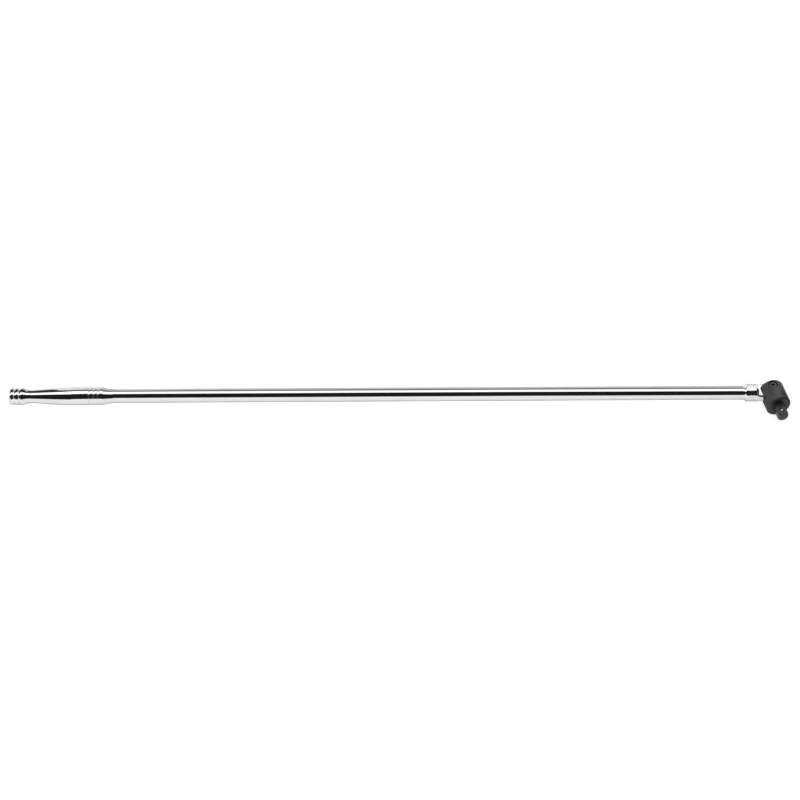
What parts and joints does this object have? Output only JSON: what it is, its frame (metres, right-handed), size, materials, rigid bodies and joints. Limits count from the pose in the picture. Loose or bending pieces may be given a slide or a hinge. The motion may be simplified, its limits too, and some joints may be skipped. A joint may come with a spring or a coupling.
{
  "type": "breaker bar",
  "caption": "Long chromed steel bar with a ring-grooved grip and a black fork head that swings its square drive either way from straight, to loosen tight nuts.",
  "frame": {"origin": "centre of the flat butt end of the bar", "axes": "+X along the bar to the head, +Z along the pivot screw towards its head, so the head swings in the XY plane; at rest the drive points to -Y, leaning 16 degrees towards +X"},
  "size_m": [0.9956, 0.0543, 0.0324],
  "materials": {
    "polished_chrome": "mirror-polished chrome plate",
    "black_oxide": "satin black oxide on forged steel",
    "screw_black": "oiled black oxide",
    "bearing_steel": "polished bearing ball",
    "spring_steel": "bright spring steel"
  },
  "bodies": {
    "handle": {"handle_bar": "polished_chrome"},
    "head": {"drive_head": "black_oxide", "pivot_screw": "screw_black", "thrust_washer_upper": "spring_steel", "thrust_washer_lower": "spring_steel", "tension_spring": "spring_steel", "detent_spring": "spring_steel"},
    "tension_plunger": {"tension_ball": "bearing_steel"},
    "socket_detent": {"detent_ball": "bearing_steel"}
  },
  "joints": [
    {"name": "head_swing", "type": "hinge", "parent": "handle", "child": "head", "pos_m": [0.9736, 0, 0], "axis": [0, 0, 1], "range_deg": [-16, 164]},
    {"name": "tension_ball_travel", "type": "slide", "parent": "head", "child": "tension_plunger", "axis": [0.2756, -0.9613, 0], "range_m": [0, 0.0008], "deforming": ["tension_spring"]},
    {"name": "detent_ball_travel", "type": "slide", "parent": "head", "child": "socket_detent", "axis": [0, 0, -1], "range_m": [0, 0.0013], "deforming": ["detent_spring"]}
  ]
}
